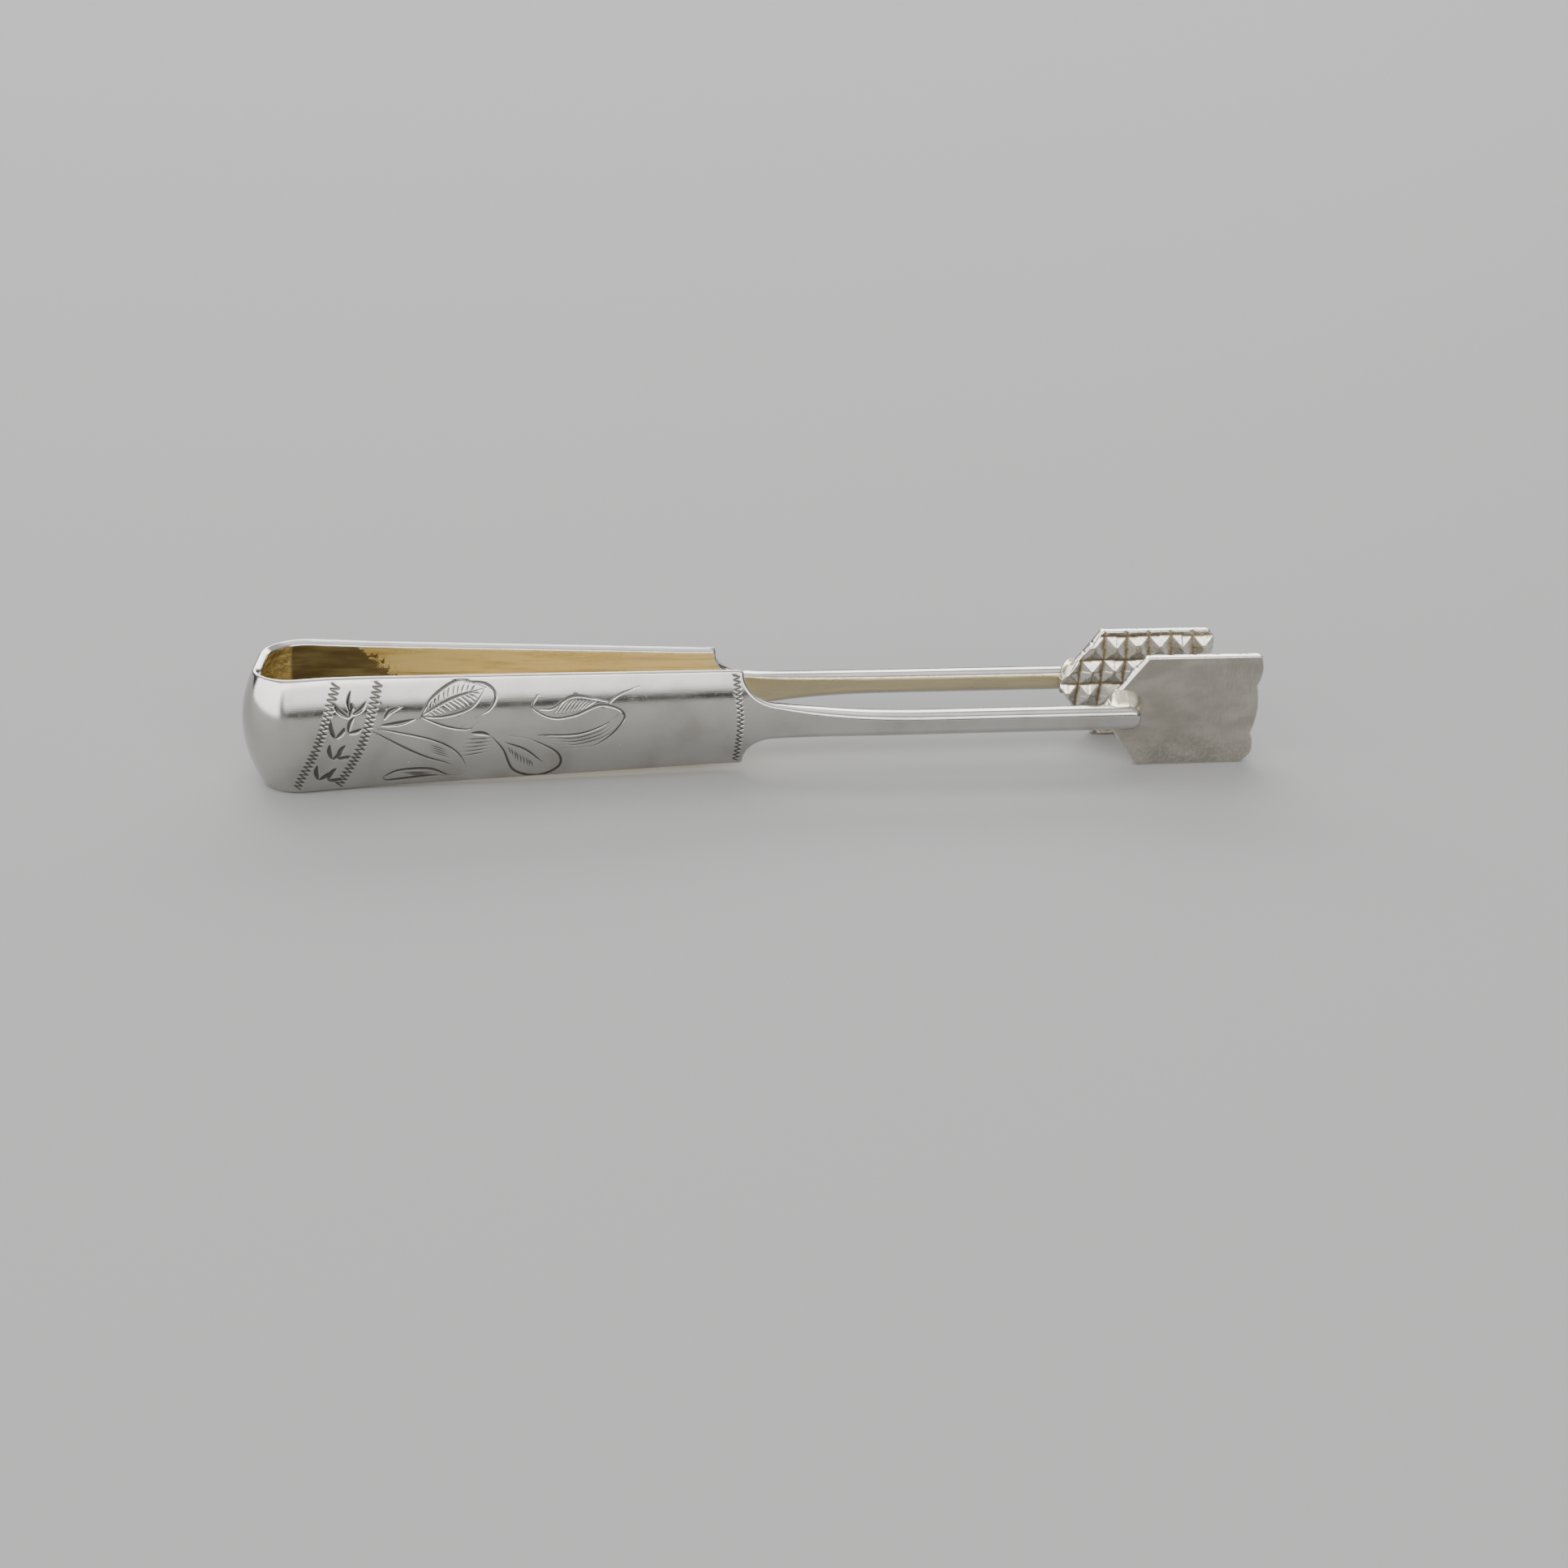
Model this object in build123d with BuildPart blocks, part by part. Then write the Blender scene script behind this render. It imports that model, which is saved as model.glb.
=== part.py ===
"""Ice tongs of one bent silver strip with two toothed grip plates soldered on.

The tongs lie on one long edge. The bow is at -X, the jaws are at +X, and the strip's
width stands along +Z. The right arm is at -Y and the left arm at +Y. The origin is at
the middle of the bounding box's bottom face. All sizes are millimetres.
"""

from build123d import *
import os
from math import asin, cos, radians, sin, tan

os.makedirs("parts", exist_ok=True)

# ---- Driving dimensions ------------------------------------------------------------

overall_length = 168.8
strip_width = 19.5  # at the bow, and the height of the grip plates
sheet = 1.6  # thickness of the strip
dome_radius = 19.6  # the strip is crowned outwards across its width
middle = strip_width / 2  # height of the tongs' plane of symmetry
bow_tip = -overall_length / 2

# The bow is a short flat, then a corner that turns a little past the long axis.
bow_flat = 3.4  # half length of the flat at the closed end
bow_corner_radius = 8.2
bow_overturn = 9.0  # degrees past parallel where the arms begin
flex_gap = 0.2  # clearance between the bow and each arm at the flexing line

# Places along the length, measured from the tip of the bow.
taper_start = 14.0
handle_bend = 17.5
shoulder = 80.3
stem_bend = 79.5
stem_straight = 101.5
stem_tip = 147.0
handle_slope = 3.4  # degrees of convergence of the handles
shoulder_half_width = 8.4
left_arm_setback = 3.6  # the left half of the strip is a little shorter
path_radii = (120, 40, 120)  # bends at handle_bend, stem_bend and stem_straight

# The cove that cuts the handle down to the stem.
cove_radius = 5.4
stem_root = shoulder + cove_radius + 1.0

# The stem is a bar with rounded corners. Near the handle it grows flatter and taller.
stem_height = 3.9
stem_thickness = 3.6
stem_corner = 0.36  # corner radius as a share of the smaller side
stem_even_length = 30.0  # of even section, back from the tip
stem_length = 67.6
stem_root_height = 6.8
stem_sections = 9
stem_tip_round = 1.1

# The grip plate: a hexagonal blade with three scallops at its free end.
plate_back = 7.8  # distance of its outer face from the long axis
plate_total = 2.5  # thickness with the teeth
plate_nose = 141.5
plate_nose_half = 0.8
plate_corner = 148.3
plate_end = overall_length
scallop_depth = 0.7

# The teeth are pyramids left between crossed V grooves.
tooth_length = 4.0
tooth_width = 4.35
groove_width = 3.5
groove_depth = 1.0
column_grooves = 7
row_grooves = 5

# The solder bead lies on the plate's outer face, around the end of the stem.
bead_centre = 145.3
bead_lift = 0.9  # the bead is thicker above the stem than below it
bead_half_length = 3.0
bead_half_height = 3.4
bead_height = 1.4
bead_round = 1.0


def x_at(station, setback=0):
    """X of a place measured from the tip of the bow."""
    return bow_tip + station - setback


# ---- The strip's plan and section --------------------------------------------------


def arm_path(side, setback):
    """The arm's middle line from the bow to the tip of the stem."""
    turn = radians(bow_overturn)
    start_x = x_at(sheet / 2 + bow_corner_radius * (1 + sin(turn)) + flex_gap)
    start_y = bow_flat + bow_corner_radius * cos(turn) - flex_gap * tan(turn)
    bend_x = x_at(handle_bend)
    bend_y = start_y - (bend_x - start_x) * tan(turn)
    root_x = x_at(stem_bend, setback)
    root_y = bend_y - (root_x - bend_x) * tan(radians(handle_slope))
    stem_y = plate_back + stem_thickness / 2
    corners = (
        (start_x, side * start_y, middle),
        (bend_x, side * bend_y, middle),
        (root_x, side * root_y, middle),
        (x_at(stem_straight, setback), side * stem_y, middle),
        (x_at(stem_tip, setback), side * stem_y, middle),
    )
    with BuildLine() as path:
        FilletPolyline(*corners, radius=path_radii)
    return path.wires()[0]


def crowned_section(plane):
    """The strip's section: a band between two arcs, crowned towards local +X."""
    crown_x = sheet / 2 - dome_radius
    edge = asin(middle / dome_radius)
    inner_radius = dome_radius - sheet

    def point(radius, angle):
        return (crown_x + radius * cos(angle), radius * sin(angle))

    with BuildSketch(plane) as section:
        with BuildLine():
            ThreePointArc(point(dome_radius, -edge), point(dome_radius, 0), point(dome_radius, edge))
            Line(point(dome_radius, edge), point(inner_radius, edge))
            ThreePointArc(point(inner_radius, edge), point(inner_radius, 0), point(inner_radius, -edge))
            Line(point(inner_radius, -edge), point(dome_radius, -edge))
        make_face()
    return section.sketch


# ---- Bow ---------------------------------------------------------------------------

closed_end = (bow_tip + sheet / 2, 0, middle)

with BuildPart() as bow:
    with BuildLine() as half_bow:
        flat = Line(closed_end, (closed_end[0], bow_flat, middle))
        JernArc(flat @ 1, flat % 1, bow_corner_radius, -(90 + bow_overturn))
    half_section = crowned_section(Plane(closed_end, x_dir=(-1, 0, 0), z_dir=(0, 1, 0)))
    sweep(sections=half_section, path=half_bow.wires()[0])
    mirror(about=Plane.XZ)

bow.part.label = "bow"
export_step(bow.part, "parts/bow.step")


# ---- Arms: handle and stem in one piece ----------------------------------------------


def side_outline(setback):
    """The handle and its shoulder seen from the side, wide enough to trim the strip."""
    shoulder_x = x_at(shoulder, setback)
    root_x = x_at(stem_root, setback)
    root_half = shoulder_half_width - cove_radius
    seen_from_left = Plane((0, strip_width, middle), x_dir=(1, 0, 0), z_dir=(0, -1, 0))
    with BuildSketch(seen_from_left) as outline:
        with BuildLine():
            back = Line((bow_tip, 0), (bow_tip, middle))
            level = Line(back @ 1, (x_at(taper_start), middle))
            taper = Line(level @ 1, (shoulder_x, shoulder_half_width))
            cove = RadiusArc(taper @ 1, (shoulder_x + cove_radius, root_half), -cove_radius)
            Polyline(cove @ 1, (root_x, root_half), (root_x, 0))
            mirror(about=Plane.XZ)
        make_face()
    return outline.sketch


def stem_section(path, distance):
    """The stem's section at a distance back from its tip."""
    place = path.length - distance
    origin = path.position_at(place, position_mode=PositionMode.LENGTH)
    along = path.tangent_at(place, position_mode=PositionMode.LENGTH)
    spread = max(distance - stem_even_length, 0) / (stem_length - stem_even_length)
    height = stem_height + (stem_root_height - stem_height) * spread**3
    thickness = stem_thickness + (sheet - stem_thickness) * spread**3
    with BuildSketch(Plane(origin, x_dir=(0, 0, 1), z_dir=along)) as section:
        RectangleRounded(height, thickness, stem_corner * thickness)
    return section.sketch


def make_arm(side, setback):
    """One arm: the crowned handle trimmed to its outline, and the stem lofted on."""
    path = arm_path(side, setback)
    step = (stem_length - stem_even_length) / (stem_sections - 1)
    with BuildPart() as arm:
        start = Plane(path @ 0, x_dir=(0, side, 0), z_dir=path % 0)
        sweep(sections=crowned_section(start), path=path)
        extrude(side_outline(setback), amount=2 * strip_width, mode=Mode.INTERSECT)
        loft([stem_section(path, stem_length - step * index) for index in range(stem_sections)])
        extrude(stem_section(path, stem_even_length), amount=stem_even_length)
        fillet(arm.faces().sort_by(Axis.X)[-1].edges(), stem_tip_round)
    return arm


# ---- Grip plates ---------------------------------------------------------------------


def plate_outline(side, setback):
    """The hexagonal blade with its scalloped end, on the plane of its outer face."""
    nose_x = x_at(plate_nose, setback)
    end_x = x_at(plate_end, setback)
    notch = (end_x - scallop_depth, tooth_width)
    outer_face = Plane((0, side * plate_back, middle), x_dir=(1, 0, 0), z_dir=(0, -side, 0))
    with BuildSketch(outer_face) as outline:
        with BuildLine():
            nose = Polyline((nose_x, 0), (nose_x, plate_nose_half), (x_at(plate_corner, setback), middle))
            top = Line(nose @ 1, (end_x - scallop_depth, middle))
            ThreePointArc(top @ 1, (end_x, (middle + tooth_width) / 2), notch)
            ThreePointArc(notch, (end_x - scallop_depth / 4, tooth_width / 2), (end_x, 0))
            mirror(about=Plane.XZ)
        make_face()
    return outline.sketch


def groove_profiles(plane, count, pitch):
    """V profiles spaced along local X that cut to local -Y when extruded along local Z."""
    with BuildSketch(plane) as profiles:
        with GridLocations(pitch, 0, count, 1):
            Polygon((-groove_width / 2, 0), (0, -groove_depth), (groove_width / 2, 0), align=None)
    return profiles.sketch


def make_plate(side, setback):
    """One grip plate with its pyramid teeth facing the other plate."""
    tips_y = side * (plate_back - plate_total)
    grooves_x = x_at(plate_end, setback) - tooth_length * (column_grooves - 1) / 2
    centre = (grooves_x, tips_y, middle)
    with BuildPart() as plate:
        extrude(plate_outline(side, setback), amount=plate_total)
        columns = groove_profiles(
            Plane(centre, x_dir=(1, 0, 0), z_dir=(0, 0, -side)), column_grooves, tooth_length
        )
        extrude(columns, amount=strip_width, both=True, mode=Mode.SUBTRACT)
        rows = groove_profiles(
            Plane(centre, x_dir=(0, 0, 1), z_dir=(side, 0, 0)), row_grooves, tooth_width
        )
        extrude(rows, amount=strip_width, both=True, mode=Mode.SUBTRACT)
    return plate


# ---- Solder --------------------------------------------------------------------------


def make_solder(side, setback, arm):
    """The bead that joins a stem to the outer face of its plate, moulded to the stem."""
    centre = (x_at(bead_centre, setback), side * plate_back, middle + bead_lift)
    with BuildPart() as solder:
        with BuildSketch(Plane(centre, x_dir=(1, 0, 0), z_dir=(0, side, 0))):
            Ellipse(bead_half_length, bead_half_height)
        extrude(amount=bead_height)
        fillet(solder.faces().sort_by(Axis.Y)[-1 if side > 0 else 0].edges(), bead_round)
        add(arm.part, mode=Mode.SUBTRACT)
    return solder


# ---- The two arms with their plates and solder ---------------------------------------

for name, side, setback in (("right", -1, 0), ("left", 1, left_arm_setback)):
    arm = make_arm(side, setback)
    arm.part.label = f"{name}_arm"
    export_step(arm.part, f"parts/{name}_arm.step")
    plate = make_plate(side, setback)
    plate.part.label = f"{name}_grip_plate"
    export_step(plate.part, f"parts/{name}_grip_plate.step")
    solder = make_solder(side, setback, arm)
    solder.part.label = f"{name}_solder"
    export_step(solder.part, f"parts/{name}_solder.step")
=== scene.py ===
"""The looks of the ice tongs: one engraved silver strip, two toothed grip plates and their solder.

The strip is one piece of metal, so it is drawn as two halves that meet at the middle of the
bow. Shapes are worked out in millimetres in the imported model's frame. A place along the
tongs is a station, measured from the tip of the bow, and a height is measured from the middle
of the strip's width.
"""

import math

import bmesh
import bpy
import numpy as np
from mathutils import Matrix, Vector


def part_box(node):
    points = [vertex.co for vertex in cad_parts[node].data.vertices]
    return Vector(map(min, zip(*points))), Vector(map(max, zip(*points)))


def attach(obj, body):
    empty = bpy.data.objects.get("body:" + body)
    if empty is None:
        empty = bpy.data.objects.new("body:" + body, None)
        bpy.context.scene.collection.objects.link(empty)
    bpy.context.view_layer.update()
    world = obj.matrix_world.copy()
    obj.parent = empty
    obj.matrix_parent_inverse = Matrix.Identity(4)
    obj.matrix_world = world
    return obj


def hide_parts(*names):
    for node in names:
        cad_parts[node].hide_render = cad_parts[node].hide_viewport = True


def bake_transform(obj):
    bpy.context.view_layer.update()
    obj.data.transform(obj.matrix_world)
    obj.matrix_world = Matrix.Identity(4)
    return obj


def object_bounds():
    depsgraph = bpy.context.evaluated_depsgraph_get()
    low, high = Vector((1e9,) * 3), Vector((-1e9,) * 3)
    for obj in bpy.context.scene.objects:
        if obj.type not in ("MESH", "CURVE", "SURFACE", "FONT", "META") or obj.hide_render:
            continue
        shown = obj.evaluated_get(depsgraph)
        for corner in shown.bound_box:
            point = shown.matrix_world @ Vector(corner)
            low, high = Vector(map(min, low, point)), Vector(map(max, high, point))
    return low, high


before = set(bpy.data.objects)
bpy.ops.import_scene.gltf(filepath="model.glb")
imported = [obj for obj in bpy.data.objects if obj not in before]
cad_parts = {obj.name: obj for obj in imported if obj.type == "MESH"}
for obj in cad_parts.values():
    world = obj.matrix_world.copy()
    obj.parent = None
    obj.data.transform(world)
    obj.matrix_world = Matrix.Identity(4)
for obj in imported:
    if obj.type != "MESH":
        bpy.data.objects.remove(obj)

MM = 0.001


def corners_mm(corners):
    """The two corners of a box, in millimetres."""
    return [np.array(corner) / MM for corner in corners]


# ---- Driving dimensions: places from the frame, then the strip's own proportions ----

cad_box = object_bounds()
box_low, box_high = corners_mm(cad_box)
right_low, right_high = corners_mm(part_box("right_arm"))
left_low, left_high = corners_mm(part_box("left_arm"))
plate_low, plate_high = corners_mm(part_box("right_grip_plate"))

bow_tip = box_low[0]
middle = (box_low[2] + box_high[2]) / 2
strip_half = (box_high[2] - box_low[2]) / 2
plate_back = -plate_low[1]
plate_total = plate_high[1] - plate_low[1]
plate_nose = plate_low[0] - bow_tip
plate_end = plate_high[0] - bow_tip
stem_tip = right_high[0] - bow_tip
left_setback = right_high[0] - left_high[0]
SIDES = {"right": (-1, 0.0), "left": (1, left_setback)}  # side of the long axis, and setback

sheet = 1.6
dome_radius = 19.6
crown = 1 / (dome_radius - sheet / 2)
flat_crown = 1e-4
bow_flat = 3.4
bow_corner_radius = 8.2
bow_overturn = math.radians(9.0)
handle_bend = 17.5
handle_slope = math.radians(3.4)
stem_bend = 79.5
stem_straight = 101.5
bend_radii = (bow_corner_radius, 120, 40, 120)
taper_start = 14.0
shoulder = 80.3
shoulder_half = 8.4
shoulder_corner = 0.6
cove_length = 6.0
cove_foot = 3.0
stem_half = 1.95
stem_thickness = 3.6
stem_even = 30.0
stem_spread = 31.3
tip_length = 1.9
tip_fullness = 0.8  # below 1 the end of the stem is blunter than an ellipse
rim_round = 0.5
stem_round = 0.34  # corner radius of the stem as a share of its thickness
tip_round, tip_round_growth, tip_round_run = 0.85, 0.25, 2  # most corner radius near the tip
flattening_lead = 1  # the crown begins to flatten this far before the shoulder
flattening_length = 2.5 * cove_length


# ---- Meshes ----


def make_object(name, points, faces, material, attributes):
    """A smooth mesh from points in millimetres, with its faces turned outwards."""
    fans = [(face[0], b, c) for face in faces for b, c in zip(face[1:], face[2:])]
    a, b, c = (points[column] for column in np.array(fans).T)
    if np.einsum("ij,ij->i", a, np.cross(b, c)).sum() < 0:
        faces = [face[::-1] for face in faces]
    mesh = bpy.data.meshes.new(name)
    mesh.from_pydata((points * MM).tolist(), [], faces)
    mesh.shade_smooth()
    for label, values in attributes.items():
        kind = "FLOAT_VECTOR" if values.ndim == 2 else "FLOAT"
        field = mesh.attributes.new(label, kind, "POINT")
        field.data.foreach_set("vector" if values.ndim == 2 else "value", values.ravel())
    mesh.materials.append(material)
    made = bpy.data.objects.new(name, mesh)
    bpy.context.scene.collection.objects.link(made)
    return made


def waves(rng, count, lengths):
    """A smooth random field of x and y: a few sine waves of lengths between two limits."""
    angles = rng.uniform(0, math.tau, count)
    sizes = rng.uniform(*lengths, count)
    phases = rng.uniform(0, math.tau, count)

    def field(x, y):
        total = np.zeros(np.shape(x))
        for angle, size, phase in zip(angles, sizes, phases):
            total += np.sin((x * math.cos(angle) + y * math.sin(angle)) * math.tau / size + phase)
        return total / count

    return field


def left_normals(tangent):
    """Unit vectors at right angles to each tangent, on its left."""
    normal = np.stack((-tangent[:, 1], tangent[:, 0]), axis=-1)
    return normal / np.linalg.norm(normal, axis=1)[:, None]


# ---- The strip's plan ----

PATH_SAMPLES = 4000  # for finding the distance along a path at a station


def plan_corners(setback):
    """Corners of the strip's middle line for the half on the +Y side, as (station, y)."""
    reach = bow_corner_radius * math.tan((math.pi / 2 + bow_overturn) / 2)
    bow_y = bow_flat + reach
    bend_y = bow_y - (handle_bend - sheet / 2) * math.tan(bow_overturn)
    root_y = bend_y - (stem_bend - setback - handle_bend) * math.tan(handle_slope)
    stem_y = plate_back + stem_thickness / 2
    return np.array([
        (sheet / 2, 0),
        (sheet / 2, bow_y),
        (handle_bend, bend_y),
        (stem_bend - setback, root_y),
        (stem_straight - setback, stem_y),
        (stem_tip - setback, stem_y),
    ])


def make_path(corners, radii):
    """Straight runs and tangent arcs, as rows of x, y, heading, curvature and distance."""
    rows = []
    place, distance = corners[0], 0.0
    for corner, after, radius in zip(corners[1:], corners[2:], radii):
        heading = math.atan2(*(corner - place)[::-1])
        turn = math.atan2(*(after - corner)[::-1]) - heading
        reach = radius * math.tan(abs(turn) / 2)
        run = np.linalg.norm(corner - place) - reach
        rows.append((*place, heading, 0.0, distance))
        place = place + run * np.array((math.cos(heading), math.sin(heading)))
        rows.append((*place, heading, math.copysign(1 / radius, turn), distance + run))
        distance += run + radius * abs(turn)
        place = corner + reach * (after - corner) / np.linalg.norm(after - corner)
    heading = math.atan2(*(corners[-1] - place)[::-1])
    rows.append((*place, heading, 0.0, distance))
    return np.array(rows), distance + np.linalg.norm(corners[-1] - place)


def along(path, distance):
    """x, y and heading at distances along a path."""
    index = np.searchsorted(path[:, 4], distance, side="right") - 1
    x, y, heading, bend, start = path[np.clip(index, 0, len(path) - 1)].T
    run = distance - start
    safe = np.where(bend == 0, 1.0, bend)
    end = heading + bend * run
    arc_x = (np.sin(end) - np.sin(heading)) / safe
    arc_y = (np.cos(heading) - np.cos(end)) / safe
    x = x + np.where(bend == 0, run * np.cos(heading), arc_x)
    y = y + np.where(bend == 0, run * np.sin(heading), arc_y)
    return x, y, end


def distance_at(path, total, station):
    """Distance along a path where it reaches a station beyond the bow's corner."""
    steps = np.linspace(bow_flat, total, PATH_SAMPLES)
    return float(np.interp(station, along(path, steps)[0], steps))


def strip_points(path, side, distance, across, out, crowning):
    """Points of the strip and their outward directions, on a section bent onto the crown."""
    x, y, heading = along(path, distance.ravel())
    across, out, crowning = (np.broadcast_to(v, distance.shape).ravel() for v in (across, out, crowning))
    angle = across * crowning
    rise = (1 / crowning + out) * np.cos(angle) - 1 / crowning
    height = (1 / crowning + out) * np.sin(angle)
    normal = np.stack((-np.sin(heading), side * np.cos(heading), np.zeros_like(heading)), axis=-1)
    place = np.stack((bow_tip + x, side * y, middle + height), axis=-1) + rise[:, None] * normal
    outward = np.cos(angle)[:, None] * normal + np.sin(angle)[:, None] * np.array((0, 0, 1.0))
    return place.reshape(*distance.shape, 3), outward.reshape(*distance.shape, 3)


# ---- The strip's outline: rings from the bow to the tip of the stem ----

# Rings in each stretch, counted with both of its ends.
BOW_RINGS, HANDLE_RINGS, CORNER_RINGS, COVE_RINGS, STEM_RINGS, TIP_RINGS = 66, 134, 9, 22, 62, 12


def stem_half_at(from_tip):
    """Half height of the stem at a distance back from its tip."""
    spread = np.clip((from_tip - stem_even) / stem_spread, 0, None)
    return stem_half + (cove_foot - stem_half) * spread**3


def strip_rings(path, total, setback):
    """For each ring: distance, half width, the outline's normal, half thickness, corner, crown."""
    taper = distance_at(path, total, taper_start)
    corner = distance_at(path, total, shoulder - setback)
    foot = corner + cove_length
    quarter = np.linspace(0, math.pi / 2, CORNER_RINGS)[1:]
    bow_run = np.linspace(0, taper, BOW_RINGS)
    handle_run = np.linspace(taper, corner - shoulder_corner, HANDLE_RINGS)[1:]
    handle_half = np.interp(handle_run, (taper, corner), (strip_half, shoulder_half))
    cove = np.linspace(0, math.pi / 2, COVE_RINGS)[1:]
    cove_height = shoulder_half - shoulder_corner - cove_foot
    stem_run = np.linspace(foot, total - tip_length, STEM_RINGS)[1:]
    tip = np.linspace(0, math.pi / 2, TIP_RINGS)[1:]
    distance = np.concatenate((
        bow_run,
        handle_run,
        corner - shoulder_corner * (1 - np.sin(quarter)),
        corner + cove_length * (1 - np.cos(cove)),
        stem_run,
        total - tip_length * (1 - np.sin(tip)),
    ))
    half = np.concatenate((
        np.full(len(bow_run), strip_half),
        handle_half,
        shoulder_half - shoulder_corner * (1 - np.cos(quarter)),
        cove_foot + cove_height * (1 - np.sin(cove)),
        stem_half_at(total - stem_run),
        stem_half * np.cos(tip) ** tip_fullness,
    ))
    from_tip = total - distance
    spread = np.clip((from_tip - stem_even) / (stem_spread + cove_length), 0, 1)
    thickness = stem_thickness + (sheet - stem_thickness) * spread**3
    ease = np.clip((distance - corner + flattening_lead) / flattening_length, 0, 1)
    ease = ease**2 * (3 - 2 * ease)
    crowning = crown + (flat_crown - crown) * ease
    rounding = rim_round + (stem_round * thickness - rim_round) * ease
    rounding = np.minimum(rounding, tip_round + tip_round_growth * np.clip(from_tip, 0, tip_round_run))
    outer = 1 / crowning + thickness / 2
    half = np.arcsin(half / outer) / crowning
    normal = np.stack((-np.gradient(half), np.gradient(distance)), axis=-1)
    normal[0] = (0, 1)
    normal[-1] = (1, 0)
    normal /= np.linalg.norm(normal, axis=1)[:, None]
    return np.column_stack((distance, half, normal, thickness / 2, rounding, crowning))


FACE_COLUMNS = 44  # across the outer face
BACK_COLUMNS = 18  # across the inner face
CORNER_STEPS = 5
CROWDING = math.radians(70)
FINE = 5  # the outer face is this many times finer beside an engraved line


def crowded_steps(count):
    """Steps from -1 to 1 that stand closer together towards both ends."""
    return np.sin(np.linspace(-1, 1, count + 1) * CROWDING) / math.sin(CROWDING)


def ring_columns():
    """Where each point of a ring lies: share of the width, sine and cosine of the corner, side."""
    face = crowded_steps(FACE_COLUMNS)
    back = crowded_steps(BACK_COLUMNS)
    turn = np.linspace(0, math.pi / 2, CORNER_STEPS + 1)[1:]
    rows = [(-tau, 0, 1, 1) for tau in face]
    rows += [(-1, math.sin(t), math.cos(t), 1) for t in turn]
    rows += [(-1, 1, 0, 0)]
    rows += [(-1, math.sin(t), -math.cos(t), -1) for t in turn[::-1]]
    rows += [(tau, 0, -1, -1) for tau in back]
    rows += [(1, math.sin(t), -math.cos(t), -1) for t in turn]
    rows += [(1, 1, 0, 0)]
    rows += [(1, math.sin(t), math.cos(t), 1) for t in turn[::-1]]
    return np.array(rows, float)


def section_places(rings, columns):
    """Distance, height across and thickness place of every ring at every column."""
    distance, half, along_normal, across_normal, thick, rounding, crowning = rings.T[:, :, None]
    tau, sine, cosine, level = columns.T[:, None, :]
    inset = rounding * (1 - sine)
    place = distance - inset * along_normal
    across = tau * (half - inset * across_normal)
    out = level * (thick - rounding) + rounding * cosine
    return place, across, out, np.broadcast_to(crowning, place.shape)


# ---- Engraving ----

# Half width and depth of each kind of cut.
LINE, BOLD, HAIR, BRIGHT, ROCKED = (0.25, 0.13), (0.32, 0.15), (0.17, 0.085), (0.45, 0.2), (0.19, 0.11)
SPRIG_LEAVES = ((0.42, 1.0), (-0.34, 0.8))  # lean in radians and share of the sprig's length


def smooth_curve(points, step=0.3):
    """A Catmull-Rom curve through given points."""
    points = np.array(points, float)
    padded = np.vstack((2 * points[0] - points[1], points, 2 * points[-1] - points[-2]))
    runs = []
    for before, start, end, after in zip(padded, padded[1:], padded[2:], padded[3:]):
        count = max(2, int(np.linalg.norm(end - start) / step))
        t = np.linspace(0, 1, count, endpoint=False)[:, None]
        slope = (end - before) * t
        bend = (2 * before - 5 * start + 4 * end - after) * t**2
        twist = (3 * start - before - 3 * end + after) * t**3
        runs.append(start + (slope + bend + twist) / 2)
    return np.vstack((*runs, points[-1:]))


def cut(points, tool, swell=0.35):
    """One engraved line: it starts fine, swells and runs out fine again."""
    early_end, fullness = 1.15, 0.6
    line = smooth_curve(points)
    t = np.clip(np.linspace(0, 1, len(line)) * early_end, 0, 1)
    strength = swell + (1 - swell) * np.sin(t * math.pi) ** fullness
    return line, strength * tool[0], strength * tool[1]


def hatching(edge, rib, count, reach=0.85):
    """Fine cuts from a leaf's rib towards its edge, leaning forwards."""
    first, last, lean, bow = 0.12, 0.8, 0.1, 0.06
    edge, rib = smooth_curve(edge), smooth_curve(rib)
    cuts = []
    for t in np.linspace(first, last, count):
        start = rib[int(t * (len(rib) - 1))]
        end = edge[int(min(t + lean, 1) * (len(edge) - 1))]
        bend = (start + end) / 2 + bow * (end - start)[::-1] * (-1, 1)
        cuts.append(cut((start, bend, start + reach * (end - start)), HAIR))
    return cuts


def wriggle(points, width, pitch):
    """A zigzag border, as a flat graver makes when it is rocked from side to side."""
    line = smooth_curve(points, pitch / 2)
    swing = np.where(np.arange(len(line)) % 2, 0.5, -0.5)[:, None] * width
    zigzag = line + swing * left_normals(np.gradient(line, axis=0))
    return [(zigzag, *(np.full(len(line), size) for size in ROCKED))]


def sprig(base, angle, length):
    """A pair of small bright-cut leaves on one stalk."""
    overall, bow = 1.2, 0.28
    cuts = []
    for lean, share in SPRIG_LEAVES:
        heading = math.radians(angle) + lean
        forward = np.array((math.cos(heading), math.sin(heading)))
        across = np.array((-math.sin(heading), math.cos(heading)))
        tip = np.array(base) + overall * share * length * forward
        belly = (np.array(base) + tip) / 2 + bow * lean * length * across
        cuts.append(cut((base, belly, tip), BRIGHT, swell=0.1))
    return cuts


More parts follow.
